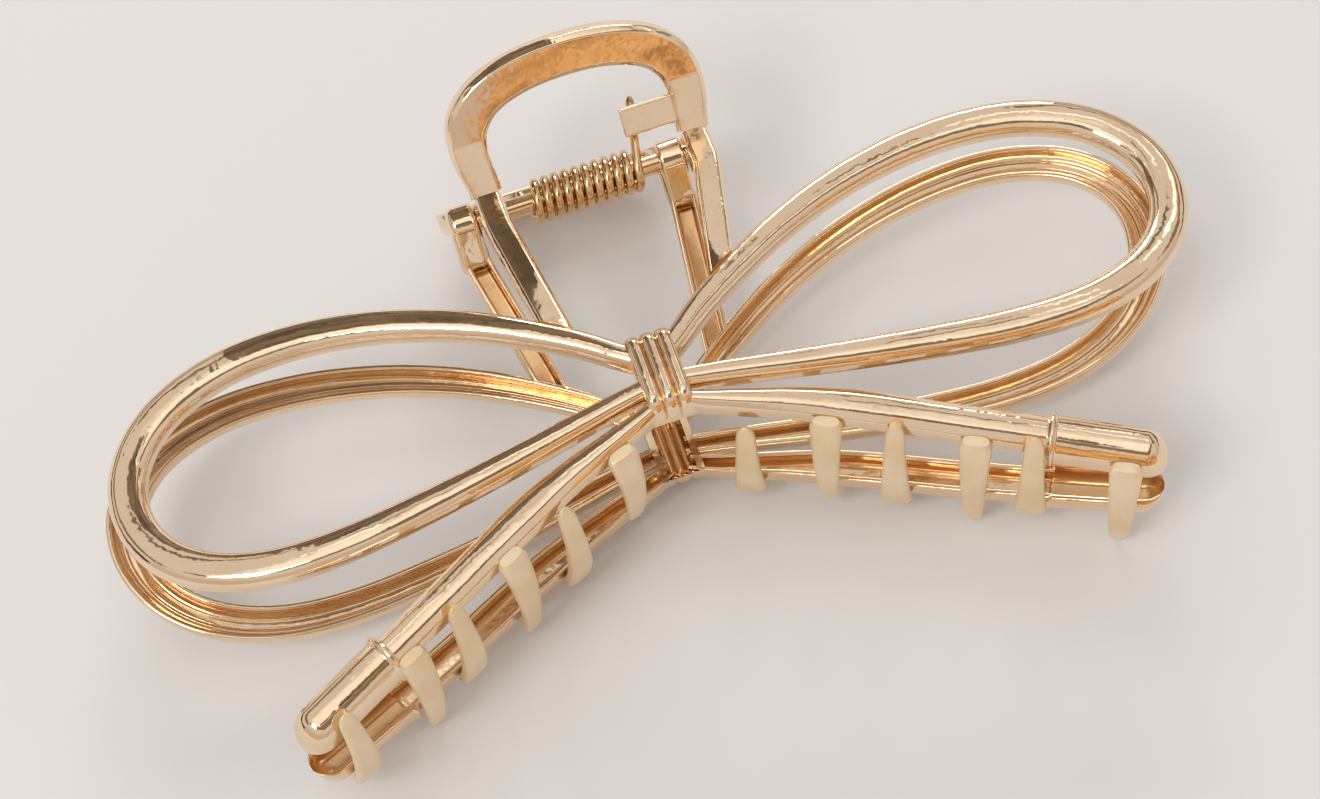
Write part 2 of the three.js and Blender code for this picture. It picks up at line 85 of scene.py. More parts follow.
HANDLE_SIDE, HANDLE_TOP, HANDLE_DEPTH, HANDLE_WALL, HANDLE_BEVEL = 3.3, 4.3, 2.0, 0.6, 0.5
TAB_LENGTH, TAB_Y, TAB_Z = 5.3, (1.1, 4.1), (-0.1, -1.0)
EAR_THICK, EAR_RADIUS, LOBE = 2.6, 2.05, 0.5
PIN_RADIUS, PIN_HALF, PIN_HEAD, PIN_DOME = 1.05, 13.5, 1.35, 0.35
COIL_RADIUS, WIRE, PITCH, TURNS, COIL_X = 1.92, 0.46, 1.07, 11, -5.2
REAR_LEG, FRONT_LEG, LEG_ANGLE, LEG_SPLAY = 4.5, 7.0, math.radians(18), 0.21

LOOP_LINE = [
    (1.2, 2.5), (2.55, 3.3), (4.9, 5.5), (10, 9.1), (17, 13.1), (25, 16.15), (34, 17.75), (42, 17.3),
    (48.7, 14.4), (52.4, 9.7), (53.0, 4.8), (51.2, 0.0), (47.2, -3.7), (41.2, -5.9), (34, -6.3),
    (25, -5.3), (15, -3.55), (6, -1.65), (2.55, -1.0), (1.2, -0.8),
]
TAIL_LINE = [
    (1.0, -2.9), (2.55, -3.55), (7, -5.25), (12, -7.2), (18, -10.1), (25, -13.85), (32.5, -17.75),
]


# ---- placing and meshing ------------------------------------------------------------------------


def to_row(points, jaw):
    """Points in a casting's frame, in millimetres, to the row's frame, in metres."""
    p = np.array(points, float).reshape(-1, 3)
    if jaw == "rear":
        p = p * (-1, 1, -1)
    p = p - (0, PIN_Y, 0)
    c, s = math.cos(REST_TILT), math.sin(REST_TILT)
    turned = np.stack([p[:, 0], c * p[:, 1] - s * p[:, 2], s * p[:, 1] + c * p[:, 2]], 1)
    return turned * 0.001 + HINGE


def add_mesh(name, vertices, faces, sharp=35, inside=None):
    data = bpy.data.meshes.new(name)
    data.from_pydata([tuple(v) for v in vertices], [], faces)
    data.validate()
    obj = bpy.data.objects.new(name, data)
    bpy.context.scene.collection.objects.link(obj)
    bpy.context.view_layer.objects.active = obj
    obj.select_set(True)
    bpy.ops.object.mode_set(mode="EDIT")
    bpy.ops.mesh.select_all(action="SELECT")
    bpy.ops.mesh.normals_make_consistent(inside=False)
    bpy.ops.object.mode_set(mode="OBJECT")
    obj.select_set(False)
    data.shade_smooth()
    data.set_sharp_from_angle(angle=math.radians(sharp))
    # The "inside" value is kept as an attribute; the materials paint shade in the hollows by it.
    if inside is not None:
        depth = data.attributes.new("inside", "FLOAT", "POINT")
        depth.data.foreach_set("value", np.asarray(inside, np.float32))
    return obj


def loft_faces(rings, points):
    """Quads between rings of equal point count, with a face on each end."""
    faces = []
    for r in range(rings - 1):
        low, high = r * points, (r + 1) * points
        for i in range(points):
            j = (i + 1) % points
            faces.append((low + i, low + j, high + j, high + i))
    faces.append(tuple(range(points)))
    faces.append(tuple(reversed(range((rings - 1) * points, rings * points))))
    return faces


def loft(name, rings, jaw, sharp=35, inside=None):
    """Joins rings; `inside` tells, for each point of a ring, how far it lies in the casting's hollow, which
    the materials paint darker as shade.
    """
    rings = np.array(rings, float)
    count, points = rings.shape[:2]
    depth = None if inside is None else np.tile(inside, count)
    return add_mesh(name, to_row(rings, jaw), loft_faces(count, points), sharp, depth)


def curve(pairs, steps, smoothing=0):
    """A smooth line through the points, at even steps, then relaxed."""
    p = np.array(pairs, float)
    p = np.vstack([2 * p[0] - p[1], p, 2 * p[-1] - p[-2]])
    dense = []
    for k in range(1, len(p) - 2):
        a, b, c, d = p[k - 1 : k + 3]
        knots = [0.0]
        for u, v in ((a, b), (b, c), (c, d)):
            knots.append(knots[-1] + math.sqrt(np.linalg.norm(v - u)))
        for t in np.linspace(knots[1], knots[2], 24, endpoint=False):
            def mix(u, v, i, j):
                w = (t - knots[i]) / (knots[j] - knots[i])
                return u * (1 - w) + v * w
            ab, bc, cd = mix(a, b, 0, 1), mix(b, c, 1, 2), mix(c, d, 2, 3)
            dense.append(mix(mix(ab, bc, 0, 2), mix(bc, cd, 1, 3), 1, 2))
    dense.append(p[-2])
    dense = np.array(dense)
    run = np.concatenate([[0], np.cumsum(np.linalg.norm(np.diff(dense, axis=0), axis=1))])
    even = np.linspace(0, run[-1], steps + 1)
    line = np.stack([np.interp(even, run, dense[:, i]) for i in range(dense.shape[1])], 1)
    for _ in range(smoothing):
        line[1:-1] = 0.25 * line[:-2] + 0.5 * line[1:-1] + 0.25 * line[2:]
    return line


def directions(line):
    along = np.gradient(line, axis=0)
    return along / np.linalg.norm(along, axis=1)[:, None]


# ---- sections: (across, up, inside), with the face's crown at up = 0 -------------------------------


def rounded(corners, steps=5):
    """A closed outline whose corners (across, up, radius, inside) are rounded off."""
    out = []
    for i, (x, y, radius, inside) in enumerate(corners):
        p = np.array((x, y))
        before, after = (np.array(corners[k % len(corners)][:2]) - p for k in (i - 1, i + 1))
        cut = min(radius, 0.48 * np.linalg.norm(before), 0.48 * np.linalg.norm(after))
        a = p + before / np.linalg.norm(before) * cut
        b = p + after / np.linalg.norm(after) * cut
        for t in np.linspace(0, 1, steps):
            q = (1 - t) ** 2 * a + 2 * t * (1 - t) * p + t * t * b
            out.append((q[0], q[1], inside))
    return np.array(out)


def crowned(width, depth, wall, shoulder=0.9, facet=0.6, dip=0.13, soft=1.0, ridged=False):
    """A crowned face between two sloping facets and side walls with rounded rims, hollow underneath.

    A ridged hollow has a low rib along its floor.
    """
    h, k, rim = width / 2, width / 2 - wall, 0.45 * wall
    roof = -(wall + dip)
    ridge = 0.3 if ridged else 0
    right = [
        (h * facet, -dip, 0.45 * soft, 0), (h, -shoulder, 0.45 * soft, 0), (h, -depth, rim, 0.2),
        (k, -depth, rim, 0.5), (k, -(shoulder + 0.3), 0.5, 1), (k * 0.62, roof, 0.4, 1),
        (k * 0.34, roof, 0.1, 0.8), (k * 0.24, roof - ridge, 0.1, 0.2),
    ]
    left = [(-x, y, r, inside) for x, y, r, inside in reversed(right)]
    return rounded([(0, 0, 1.3, 0)] + right + left, 6)


def flat_channel(width, depth, wall, bevel=0.42):
    """A flat face with bevelled edges, hollow underneath."""
    h, k, rim = width / 2, width / 2 - wall, 0.45 * wall
    right = [
        (h - bevel, 0, 0.16, 0), (h, -bevel, 0.16, 0), (h, -depth, rim, 0.2),
        (k, -depth, rim, 0.6), (k, -wall, 0.3, 1),
    ]
    left = [(-x, y, r, inside) for x, y, r, inside in reversed(right)]
    return rounded([(0, 0, 0.1, 0)] + right + left, 5)


def domed(width, depth, wall, shoulder, facets=8):
    """A face as round as half an ellipse over side walls with rounded rims, hollow underneath."""
    h, k, rim = width / 2, width / 2 - wall, 0.45 * wall
    right = []
    for i in range(1, facets + 1):
        a = i / facets * math.pi / 2
        right.append((h * math.sin(a), shoulder * (math.cos(a) - 1), 1.0, 0))
    right += [
        (h, -depth, rim, 0.2), (k, -depth, rim, 0.5), (k, -(shoulder + 0.3), 0.5, 1),
        (k * 0.62, -wall - 0.5, 0.4, 1),
    ]
    left = [(-x, y, r, inside) for x, y, r, inside in reversed(right)]
    return rounded([(0, 0, 1.0, 0)] + right + left, 4)


def swept(line, widths, heights, section, side=1):
    """Rings of an upright section that follows a line in the XY plane, and how far inside each point is."""
    rings = []
    for p, a, w, z in zip(line, directions(line), widths, heights):
        q = section(w)
        rings.append(np.stack([(p[0] - a[1] * q[:, 0]) * side, p[1] + a[0] * q[:, 0], z + q[:, 1]], 1))
    return rings, section(widths[0])[:, 2]


def bow_height(p):
    return BOW_TOP - BOW_SAG * np.abs(p[:, 0] / BOW_HALF) ** 3 - BOW_SLOPE * p[:, 1]


def tail_height(p):
    return TAIL_TOP - TAIL_SAG * (p[:, 0] / TAIL_LENGTH) ** 2


# ---- the casting's parts ------------------------------------------------------------------------


def bow_loop(name, jaw, side):
    start = LOOP_LINE[1][0]
    reach = RIGHT_REACH if side > 0 else LEFT_REACH
    line = curve([(start + (x - start) * (reach if x > start else 1), y) for x, y in LOOP_LINE], 230, 14)
    t = np.linspace(0, 1, len(line))
    widths = np.where(t < 0.5, STRAND_START, STRAND_END)
    widths = widths + (STRAND_MIDDLE - widths) * np.sin(math.pi * np.minimum(t, 1 - t))
    rings, inside = swept(
        line, widths, bow_height(line),
        lambda w: crowned(w, BOW_DEPTH, STRAND_WALL, ridged=True), side,
    )
    # The loops' hollows take their painted shade at half strength.
    return loft(name, rings, jaw, 50, inside * 0.5)


def tail(name, jaw, side):
    line = curve(TAIL_LINE + [tuple(np.array(TAIL_LINE[-1]) + CAP_ALONG)], 90, 10)
    t = np.linspace(0, 1, len(line))
    widths = TAIL_START + (TAIL_FULL - TAIL_START) * np.minimum(1, t / 0.45) ** 0.9
    rings, inside = swept(
        line, widths, tail_height(line),
        lambda w: crowned(w, TAIL_DEPTH, TAIL_WALL * min(1, w / 2.6), 0.75, 0.5, 0.1, 0.5), side,
    )
    return loft(name, rings, jaw, 50, inside)


def cap(name, jaw, side):
    """The aglet on a tail's end: a collar, then a half capsule that is hollow underneath."""
    start = np.array(TAIL_LINE[-1])
    radius = CAP_WIDTH / 2
    end = CAP_LENGTH - radius
    section = domed(CAP_WIDTH, CAP_DEPTH, CAP_WALL, CAP_SHOULDER)
    stations = [-0.25, -0.15, 0.0, 0.12, 0.25, 0.38, 0.5, 0.6, 0.7, 0.9, 1.3, 2.5, 4.5, 6.5, end]
    stations += [end + radius * math.sin(i / 16 * math.pi / 2) for i in range(1, 16)]
    rings = []
    for s in stations:
        swell = COLLAR_SWELL * math.exp(-(((s - 0.2) / 0.28) ** 4))
        rounding = math.sqrt(max(0.0, 1 - (max(0, s - end) / radius) ** 2))
        p = start + CAP_ALONG * (s + SEAM)
        top = tail_height(p[None])[0] + CAP_RISE
        across = section[:, 0] * (1 + swell) * rounding * (0.96 if s < 0 else 1)
        up = -CAP_DEPTH + (section[:, 1] + CAP_DEPTH) * (1 + swell * 0.5) * rounding
        rings.append(np.stack(
            [(p[0] - CAP_ALONG[1] * across) * side, p[1] + CAP_ALONG[0] * across, top + up], 1
        ))
    return loft(name, rings, jaw, 50, section[:, 2])


def knot(name, jaw):
    """Rounded ribs side by side, which turn down at both ends, with a grooved hollow underneath."""
    per_rib = 14
    pitch, half, bottom = KNOT_WIDTH / RIBS, KNOT_WIDTH / 2, -KNOT_DEPTH
    outer = []
    for rib in range(RIBS):
        for i in range(per_rib):
            a = math.pi * (0.04 + 0.92 * i / (per_rib - 1))
            outer.append((-half + pitch * (rib + 0.5 - 0.5 * math.cos(a)), (math.sin(a) - 1) * RIB_RISE, 0))
    k = half - KNOT_WALL
    hollow = [(k, bottom, 0.5), (k, -1.9, 1)]
    for i in range(25):
        x = k * (0.9 - 1.8 * i / 24)
        groove = abs(math.cos(RIBS * math.pi * x / (1.8 * k)))
        hollow.append((x, GROOVE_TOP - GROOVE_DEPTH * groove, 0.7))
    hollow += [(-k, -1.9, 1), (-k, bottom, 0.5)]
    ring = np.array([(-half, bottom, 0.2)] + outer + [(half, bottom, 0.2)] + hollow)
    loose = ring[:, 1] > bottom
    rings = []
    for s in -np.cos(np.linspace(0, math.pi, 49)):
        drop = KNOT_TURN_DOWN * (1 - math.sqrt(max(0.0, 1 - (max(0, abs(s) - 0.6) / 0.4) ** 2)))
        up = ring[:, 1].copy()
        up[loose] = np.maximum(up[loose] - drop, bottom + 0.02)
        y = np.full(len(ring), KNOT_Y + s * KNOT_LENGTH / 2)
        rings.append(np.stack([ring[:, 0], y, KNOT_TOP + up], 1))
    # The knot's hollow takes its painted shade at 0.6 strength.
    return loft(name, rings, jaw, 60, ring[:, 2] * 0.6)


def tail_edge(x):
    """The outer edge of a tail where a tooth's middle is at x, and the tail's direction there."""
    side = math.copysign(1, x)
    line = np.array(TAIL_LINE[1:] + [tuple(np.array(TAIL_LINE[-1]) + CAP_ALONG * CAP_LENGTH)])
    half = TAIL_FULL / 2
    if abs(x) > TAIL_LINE[-1][0]:
        half = CAP_WIDTH / 2
    elif abs(x) < 10:
        half = TAIL_NARROW / 2

    def segment(reach):
        return next(k for k in range(1, len(line)) if line[k][0] >= reach)

    def along(k):
        d = line[k] - line[k - 1]
        return d / np.linalg.norm(d)

    reach = abs(x) - along(segment(abs(x)))[1] * (half + SEAM + TOOTH_STANDOFF)
    k = segment(reach)
    a = along(k)
    middle = line[k - 1] + a * (reach - line[k - 1][0]) / a[0]
    point = np.array([(middle[0] + a[1] * half) * side, middle[1] - a[0] * half])
    return point, np.array([a[0] * side, a[1]]), np.array([a[1] * side, -a[0]])


def tooth(name, jaw, x, tip_z):
    """A broad tapered blade that leaves the tail's side wall and bends out round the other jaw."""
    point, along, out = tail_edge(x)
    root_z = tail_height(point[None])[0] - 0.5
    section = []
    for a in np.linspace(0, 2 * math.pi, 28, endpoint=False):
        c, s = math.cos(a), math.sin(a)
        section.append((math.copysign(abs(c) ** 0.55, c), math.copysign(abs(s) ** 0.8, s)))
    section = np.array(section)
    (root_width, root_thick), (tip_width, tip_thick) = TOOTH_ROOT, TOOTH_TIP
    rings = []
    for t in np.linspace(0, 1, 40):
        end = math.sqrt(max(0.02, 1 - max(0, (t - 0.88) / 0.12) ** 2))
        head = 1 - 0.25 * max(0, 1 - t / 0.05) ** 2
        half_width = (root_width + (tip_width - root_width) * t**0.9) / 2 * end * head
        half_thick = (root_thick + (tip_thick - root_thick) * t) / 2 * end * head
        away = 0.45 + 0.3 * min(1, t / 0.2) + TOOTH_BOW * math.sin(math.pi * t)
        z = root_z + (tip_z - root_z) * t
        w, n = section[:, 0] * half_width, section[:, 1] * half_thick
        rings.append(np.stack([
            point[0] + out[0] * (away + n) + along[0] * w,
            point[1] + out[1] * (away + n) + along[1] * w,
            np.full(len(section), z),
        ], 1))
    return loft(name, rings, jaw, sharp=50)


def loop_outer_edge(x):
    """The outer edge of a loop's upper strand at x, and the strand's slope there."""
    line = curve(LOOP_LINE[1:7], 200)
    k = int(np.argmax(line[:, 0] >= x))
    d = line[k] - line[k - 1]
    slope = d[1] / d[0]
    return line[k][1] + 1.45 * math.sqrt(1 + slope * slope), slope


def arm(name, jaw, side):
    """A channelled rail from the bow to the kink, and the ear that hangs from it round the pin."""
    foot_x, head_x = FOOT_OFFSET + side * FOOT_HALF, ARM_OFFSET + side * KINK_HALF
    edge, slope = loop_outer_edge(abs(foot_x))
    foot_y = edge - 0.5
    foot_z = float(bow_height(np.array([[foot_x, edge]]))[0])
    rings, inside = [], flat_channel(ARM_WIDTH, ARM_DEPTH, ARM_WALL)[:, 2]
    for t in np.linspace(0, 1, 26):
        y = foot_y + (KINK_Y - foot_y) * t
        outwards = min(1, (y - foot_y) / (ARM_STRAIGHT_Y - foot_y))
        x = foot_x + (head_x - foot_x) * outwards
        z = foot_z + (KINK_Z - foot_z) * t
        q = flat_channel(ARM_FOOT + (ARM_WIDTH - ARM_FOOT) * outwards, ARM_DEPTH, ARM_WALL)
        lean = slope * (1 - t) ** 2 * side
        rings.append(np.stack([x + q[:, 0], y + q[:, 0] * lean, z + q[:, 1]], 1))
    rail = loft(name, rings, jaw, 50, inside)

    profile = [(KINK_Y - 0.05, KINK_Z - 0.35), (KINK_Y - 4.8, KINK_Z + 0.15), (KINK_Y - 3.9, KINK_Z - 2.2)]
    for a in np.linspace(-math.pi + 0.35, 0.25, 28):
        profile.append((PIN_Y + EAR_RADIUS * math.cos(a), EAR_RADIUS * math.sin(a)))
    outer = jaw == "rear" and side > 0
    x0, x1 = head_x - EAR_THICK / 2, head_x + EAR_THICK / 2 + (LOBE if outer else 0)
    ear = slab(name + "_ear", jaw, profile, x0, x1, 0.8 if outer else 0.35)
    return rail, ear


def slab(name, jaw, profile, x0, x1, bevel=0.22):
    """A plate of (Y, Z) outline between two X positions, with rounded edges."""
    n = len(profile)
    points = [(x0, y, z) for y, z in profile] + [(x1, y, z) for y, z in profile]
    faces = [(i, (i + 1) % n, n + (i + 1) % n, n + i) for i in range(n)]
    faces += [tuple(range(n)), tuple(range(2 * n - 1, n - 1, -1))]
    obj = add_mesh(name, to_row(points, jaw), faces)
    soften(obj, bevel)
    return obj


def soften(obj, width):
    m = obj.modifiers.new("edges", "BEVEL")
    m.width = width * 0.001
    m.segments = 3
    m.limit_method = "ANGLE"
    m.angle_limit = math.radians(40)
    m.harden_normals = True


def flare(points):
    """Bends the flat handle at its crease, then turns it out of the casting's plane at the kink."""
    p = np.array(points, float)
    shape = p.shape
    p = p.reshape(-1, 3)
    bend = np.where(p[:, 1] > CREASE, ARCH_FLARE - LEG_FLARE, 0)
    y, z = p[:, 1] - CREASE, p[:, 2]
    y, z = CREASE + np.cos(bend) * y - np.sin(bend) * z, np.sin(bend) * y + np.cos(bend) * z
    c, s = math.cos(LEG_FLARE), math.sin(LEG_FLARE)
    turned = np.stack([p[:, 0] + ARM_OFFSET, c * y - s * z + KINK_Y, s * y + c * z + KINK_Z], 1)
    return turned.reshape(shape)


def handle(name, jaw):
    """The arch from one arm's kink to the other's, swept flat and then bent."""
    w, h = HANDLE_HALF, HANDLE_HEIGHT
    side = [
        (KINK_HALF, -0.1), (KINK_HALF + 0.15, 1.4), (w, h * 0.38), (w * 0.945, h * 0.63),
        (w * 0.76, h * 0.83), (w * 0.42, h * 0.96),
    ]
    line = curve([(-x, y) for x, y in side] + [(0, h)] + side[::-1], 200, 12)
    t = np.linspace(0, 1, len(line))
    widths = HANDLE_SIDE + (HANDLE_TOP - HANDLE_SIDE) * np.minimum(1, np.minimum(t, 1 - t) / 0.2)
    rings, inside = swept(
        line, widths, np.zeros(len(line)),
        lambda v: flat_channel(v, HANDLE_DEPTH, HANDLE_WALL, HANDLE_BEVEL),
    )
    return loft(name, flare(rings), jaw, 50, inside)


def spring_tab(name, jaw):
    inner = HANDLE_HALF - HANDLE_SIDE / 2 - 0.45
    x0, x1 = inner - TAB_LENGTH, inner + SEAM
    y0, y1 = TAB_Y
    points = [(x, y, z) for z in TAB_Z for x, y in ((x0, y0), (x1, y0), (x1, y1), (x0, y1))]
    faces = [(0, 1, 2, 3), (7, 6, 5, 4), (0, 4, 5, 1), (1, 5, 6, 2), (2, 6, 7, 3), (3, 7, 4, 0)]
    obj = add_mesh(name, to_row(flare(points), jaw), faces)
    soften(obj, 0.25)
    return obj


# ---- pin and spring ------------------------------------------------------------------------------


def lathe_x(name, profile, steps=48):
    """A profile of (x, radius) turned about the hinge's axis."""
    rings = []
    for x, r in profile:
        a = np.linspace(0, 2 * math.pi, steps, endpoint=False)
        rings.append(np.stack([np.full(steps, x), PIN_Y + r * np.cos(a), r * np.sin(a)], 1))
    return loft(name, rings, "front", sharp=40)


def hinge_pin(name):
    r, h, big, n = PIN_RADIUS, PIN_HALF, PIN_HEAD, PIN_DOME
    half = [(h + n * math.sin(a), big * math.cos(a) ** 0.7) for a in np.linspace(1.45, 0, 10)]
    half += [(h, big * 0.98), (h - 0.02, r), (h * 0.5, r)]
    profile = [(-x, y) for x, y in half] + [(0, r)] + half[::-1]
    return lathe_x(name, profile)


def torsion_spring(name):
    """Wire from under the rear tab, round the coil, to under the front tab; and the coil's two ends."""
    leg = math.pi / 2 + LEG_ANGLE
    sweep = 2 * math.pi * TURNS - 2 * leg
    rise = sweep / (2 * math.pi) * PITCH
    lift, fall = math.cos(LEG_ANGLE), math.sin(LEG_ANGLE)
    line = []
    for s in np.linspace(-REAR_LEG, 0, 16, endpoint=False):
        line.append((COIL_X + s * LEG_SPLAY, -s * lift, s * fall, -leg))
    for u in np.linspace(0, sweep, int(TURNS * 28)):
        line.append((COIL_X + u / sweep * rise, 0, 0, -leg - u))
    for s in np.linspace(0, FRONT_LEG, 17)[1:]:
        line.append((COIL_X + rise + s * LEG_SPLAY, s * lift, s * fall, -leg - sweep))
    points = np.array([
        (x, PIN_Y + COIL_RADIUS * math.cos(a) + dy, COIL_RADIUS * math.sin(a) + dz) for x, dy, dz, a in line
    ])
    along = directions(points)
    rings = []
    for k, (p, d) in enumerate(zip(points, along)):
        across = np.array([1.0, 0, 0]) - d * d[0]
        across /= np.linalg.norm(across)
        other = np.cross(d, across)
        r = WIRE * (0.55 if k in (0, len(points) - 1) else 1)
        a = np.linspace(0, 2 * math.pi, 14, endpoint=False)
        rings.append(p + r * (np.cos(a)[:, None] * across + np.sin(a)[:, None] * other))
    return loft(name, rings, "front", sharp=60), COIL_X, COIL_X + rise


# ---- materials -----------------------------------------------------------------------------------


def link(tree, a, b):
    tree.links.new(a, b)


def node(tree, kind, **values):
    n = tree.nodes.new(kind)
    for key, value in values.items():
        if key in n.inputs:
            n.inputs[key].default_value = value
        else:
            setattr(n, key, value)
    return n


def noise(tree, coordinates, scale, detail):
    n = node(tree, "ShaderNodeTexNoise")
    n.inputs["Scale"].default_value = scale
    n.inputs["Detail"].default_value = detail
    n.inputs["Roughness"].default_value = 0.5
    link(tree, coordinates, n.inputs["Vector"])
    return n.outputs["Fac"]


def ramp(tree, value, low, high, at=(0.35, 0.65)):
    """Maps a noise value to a number between low and high."""
    n = node(tree, "ShaderNodeMapRange")
    n.inputs["From Min"].default_value, n.inputs["From Max"].default_value = at
    n.inputs["To Min"].default_value, n.inputs["To Max"].default_value = low, high
    link(tree, value, n.inputs["Value"])
    return n.outputs["Result"]


def mixed(tree, amount, a, b, kind="RGBA"):
    """a where the amount is 0 and b where it is 1; each is a value or a socket."""
    n = node(tree, "ShaderNodeMix", data_type=kind)
    wanted = {"RGBA": "Color", "FLOAT": "Float"}[kind]
    slots = {x.identifier: x for x in n.inputs}
    for letter, value in (("A", a), ("B", b)):
        socket = slots[f"{letter}_{wanted}"]
        if isinstance(value, bpy.types.NodeSocket):
            link(tree, value, socket)
        else:
            socket.default_value = value
    link(tree, amount, slots["Factor_Float"])
    return next(x for x in n.outputs if x.identifier == f"Result_{wanted}")


# Painted shade: the hollow backs' deeper orange colours stand for the shadow and gold bounce light in them;
# their roughness is their own.
HOLLOW_SHADE_GOLD, HOLLOW_SHADE_WORN, HOLLOW_ROUGHNESS = (0.86, 0.60, 0.33), (0.76, 0.47, 0.23), 0.26


def gold(name, colour, worn, rough, waves, grain, grain_scale=2600, metallic=1.0):
    """Plated metal: cloudy colour, uneven polish, a cast surface's slow waves and a fine skin.

    The hollow backs, marked by the mesh's "inside" value, are less polished and carry painted shade: a
    deeper orange colour that stands for the shadow and gold bounce light inside them.
    rough is the lowest and highest roughness; waves are their strength, height and scale.
    """
    m = bpy.data.materials.new(name)
    m.use_nodes = True
    tree = m.node_tree
    shader = tree.nodes["Principled BSDF"]
    shader.inputs["Metallic"].default_value = metallic
    where = node(tree, "ShaderNodeTexCoord").outputs["Object"]
    depth = node(tree, "ShaderNodeAttribute", attribute_name="inside").outputs["Fac"]
    clouds = ramp(tree, noise(tree, where, 170, 4), 0.0, 1.0)
    face = mixed(tree, clouds, (*colour, 1), (*worn, 1))
    # Painted shade: the hollow backs take the deeper colours by their "inside" value.
    hollow_shade = mixed(tree, clouds, (*HOLLOW_SHADE_GOLD, 1), (*HOLLOW_SHADE_WORN, 1))
    link(tree, mixed(tree, depth, face, hollow_shade), shader.inputs["Base Color"])
    polish = ramp(tree, noise(tree, where, 520, 5), *rough)
    link(tree, mixed(tree, depth, polish, HOLLOW_ROUGHNESS, "FLOAT"), shader.inputs["Roughness"])
    slow = node(tree, "ShaderNodeBump", Strength=waves[0], Distance=waves[1])
    link(tree, noise(tree, where, waves[2], 3), slow.inputs["Height"])
    fine = node(tree, "ShaderNodeBump", Strength=grain, Distance=0.00002)
    link(tree, noise(tree, where, grain_scale, 3), fine.inputs["Height"])
    link(tree, slow.outputs["Normal"], fine.inputs["Normal"])
    link(tree, fine.outputs["Normal"], shader.inputs["Normal"])
    return m


polished = gold(
    "plated_gold", (0.93, 0.75, 0.54), (0.90, 0.70, 0.48),
    rough=(0.04, 0.10), waves=(0.5, 0.00025, 240), grain=0.12,
)
satin = gold(
    "satin_gold", (0.90, 0.76, 0.54), (0.84, 0.66, 0.42),
    rough=(0.38, 0.55), waves=(0.4, 0.0002, 300), grain=0.5, grain_scale=1800, metallic=0.45,
)
# Painted shade: the wire is coloured darker and browner than the casting, for the shadow in and between the
# coil's turns.
wire = gold(
    "spring_wire", (0.80, 0.56, 0.31), (0.70, 0.46, 0.24),
    rough=(0.12, 0.22), waves=(0.2, 0.00005, 900), grain=0.3,
)
# Painted shade: the pin is coloured darker than the casting, for the shadow inside the coil.
pin_metal = gold(
    "pin_gold", (0.86, 0.66, 0.42), (0.80, 0.58, 0.34),
    rough=(0.12, 0.22), waves=(0.3, 0.0001, 400), grain=0.3,
)

# ---- the object ----------------------------------------------------------------------------------


def finish_piece(obj, material, body, slot, *nodes):
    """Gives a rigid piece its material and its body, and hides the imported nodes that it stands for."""
    obj.data.materials.clear()
    obj.data.materials.append(material)
    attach(obj, body)
    if nodes:
        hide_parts(*nodes)


for jaw in ("front", "rear"):
    body = jaw + "_jaw"
    finish_piece(knot(f"{jaw}_knot_cast", jaw), polished, body, "plated_gold", f"{jaw}_knot")
    for word, side in (("left", -1), ("right", 1)):
        for kind, make in (("bow_loop", bow_loop), ("tail", tail), ("tail_cap", cap)):
            piece = make(f"{jaw}_{kind}_{word}_cast", jaw, side)
            finish_piece(piece, polished, body, "plated_gold", f"{jaw}_{kind}_{word}")
        rail, ear = arm(f"{jaw}_arm_{word}_cast", jaw, side)
        finish_piece(rail, polished, body, "plated_gold", f"{jaw}_arm_{word}")
        finish_piece(ear, polished, body, "plated_gold")
    for i, (x, z) in enumerate(zip(TOOTH_X, TOOTH_TIP_Z), 1):
        piece = tooth(f"{jaw}_tooth_{i}_cast", jaw, x, z)
        finish_piece(piece, satin, body, "satin_gold", f"{jaw}_tooth_{i}")
    finish_piece(handle(f"{jaw}_handle_cast", jaw), polished, body, "plated_gold", f"{jaw}_handle")
    tab = spring_tab(f"{jaw}_spring_tab_cast", jaw)
    finish_piece(tab, polished, body, "plated_gold", f"{jaw}_spring_tab")

finish_piece(hinge_pin("hinge_pin_turned"), pin_metal, "rear_jaw", "pin_gold", "hinge_pin")
spring, coil_start, coil_end = torsion_spring("torsion_spring_wire")
spring.data.materials.append(wire)
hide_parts("torsion_spring")
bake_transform(spring)

# ---- floor, light and camera -----------------------------------------------------------------------

FLOOR_HALF, FLOOR_DROP, FLOOR_COLOUR = 3, 0.00005, (0.79, 0.80, 0.815)

floor_data = bpy.data.meshes.new("floor")
corners = [(x * FLOOR_HALF, y * FLOOR_HALF, 0) for x, y in ((-1, -1), (1, -1), (1, 1), (-1, 1))]
floor_data.from_pydata(corners, [], [(0, 1, 2, 3)])
floor = bpy.data.objects.new("floor", floor_data)
bpy.context.scene.collection.objects.link(floor)
floor.location.z = -FLOOR_DROP
paper = bpy.data.materials.new("pale_floor")
paper.use_nodes = True
matte = paper.node_tree.nodes["Principled BSDF"]
matte.inputs["Base Color"].default_value = (*FLOOR_COLOUR, 1)
matte.inputs["Roughness"].default_value = 0.85
floor_data.materials.append(paper)


def direction(azimuth, elevation):
    """From the object towards a place; azimuth 0 is -Y, and 90 is +X."""
    a, e = math.radians(azimuth), math.radians(elevation)
    return Vector((math.sin(a) * math.cos(e), -math.cos(a) * math.cos(e), math.sin(e)))


def softbox(name, azimuth, elevation, distance, size, watts, colour):
    """A rectangular lamp that faces the object."""
    data = bpy.data.lights.new(name, "AREA")
    data.shape, data.size, data.size_y = "RECTANGLE", *size
    data.energy, data.color = watts, colour
    lamp = bpy.data.objects.new(name, data)
    bpy.context.scene.collection.objects.link(lamp)
    back = direction(azimuth, elevation)
    lamp.location = Vector((0, 0, 0.01)) + back * distance
    lamp.rotation_mode = "QUATERNION"
    lamp.rotation_quaternion = back.to_track_quat("Z", "Y")


